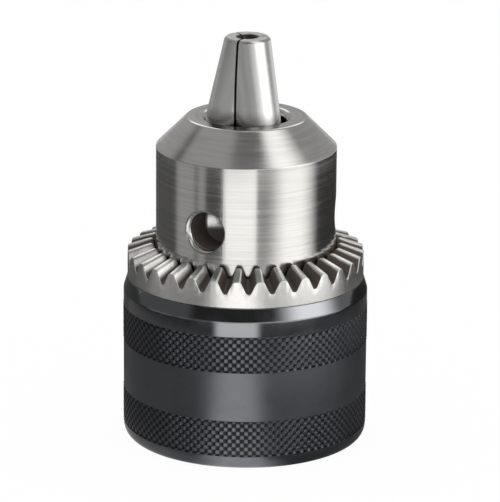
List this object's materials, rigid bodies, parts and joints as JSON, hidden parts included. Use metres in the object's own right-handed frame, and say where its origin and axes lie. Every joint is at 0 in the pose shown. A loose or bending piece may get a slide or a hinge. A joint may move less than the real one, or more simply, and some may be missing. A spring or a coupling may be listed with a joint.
{
  "type": "drill chuck",
  "caption": "Keyed drill chuck: sloped steel jaws in a turned body, opened and closed by a bevel-toothed ring on a knurled black sleeve; spindle thread at the rear.",
  "frame": {"origin": "centre of the rear face, on the spindle axis", "axes": "+Z along the spindle axis towards the jaw tips; -Y out through the middle of key_hole_1"},
  "size_m": [0.043, 0.043, 0.0716],
  "materials": {
    "body_steel": "turned",
    "jaw_steel": "ground",
    "ring_steel": "satin",
    "black_oxide": "blackened, semi-gloss",
    "nut_steel": "machined",
    "bearing_steel": "polished",
    "cage_brass": "satin"
  },
  "bodies": {
    "body": {"chuck_body": "body_steel", "thrust_race": "bearing_steel"},
    "sleeve": {"knurled_sleeve": "black_oxide", "gear_ring": "ring_steel", "nut_half_left": "nut_steel", "nut_half_right": "nut_steel"},
    "jaw_1": {"jaw_1": "jaw_steel"},
    "jaw_2": {"jaw_2": "jaw_steel"},
    "jaw_3": {"jaw_3": "jaw_steel"},
    "ball_ring": {"ball_cage": "cage_brass", "bearing_balls": "bearing_steel"}
  },
  "joints": [
    {"name": "sleeve_spin", "type": "hinge", "parent": "body", "child": "sleeve", "pos_m": [0, 0, 0.019], "axis": [0, 0, 1], "range_deg": [0, 4600]},
    {"name": "jaw_1_slide", "type": "slide", "parent": "body", "child": "jaw_1", "axis": [0.1986, -0.1056, -0.9744], "range_m": [0, 0.02556]},
    {"name": "jaw_2_slide", "type": "slide", "parent": "body", "child": "jaw_2", "axis": [-0.0079, 0.2248, -0.9744], "range_m": [0, 0.02556]},
    {"name": "jaw_3_slide", "type": "slide", "parent": "body", "child": "jaw_3", "axis": [-0.1908, -0.1192, -0.9744], "range_m": [0, 0.02556]},
    {"name": "ball_orbit", "type": "hinge", "parent": "body", "child": "ball_ring", "pos_m": [0, 0, 0.019], "axis": [0, 0, 1], "range_deg": [0, 2300]}
  ],
  "couplings": [
    {"joint": "jaw_1_slide", "follows": "sleeve_spin", "m_per_rad": 0.00031831},
    {"joint": "jaw_2_slide", "follows": "sleeve_spin", "m_per_rad": 0.00031831},
    {"joint": "jaw_3_slide", "follows": "sleeve_spin", "m_per_rad": 0.00031831},
    {"joint": "ball_orbit", "follows": "sleeve_spin", "ratio": 0.5}
  ]
}
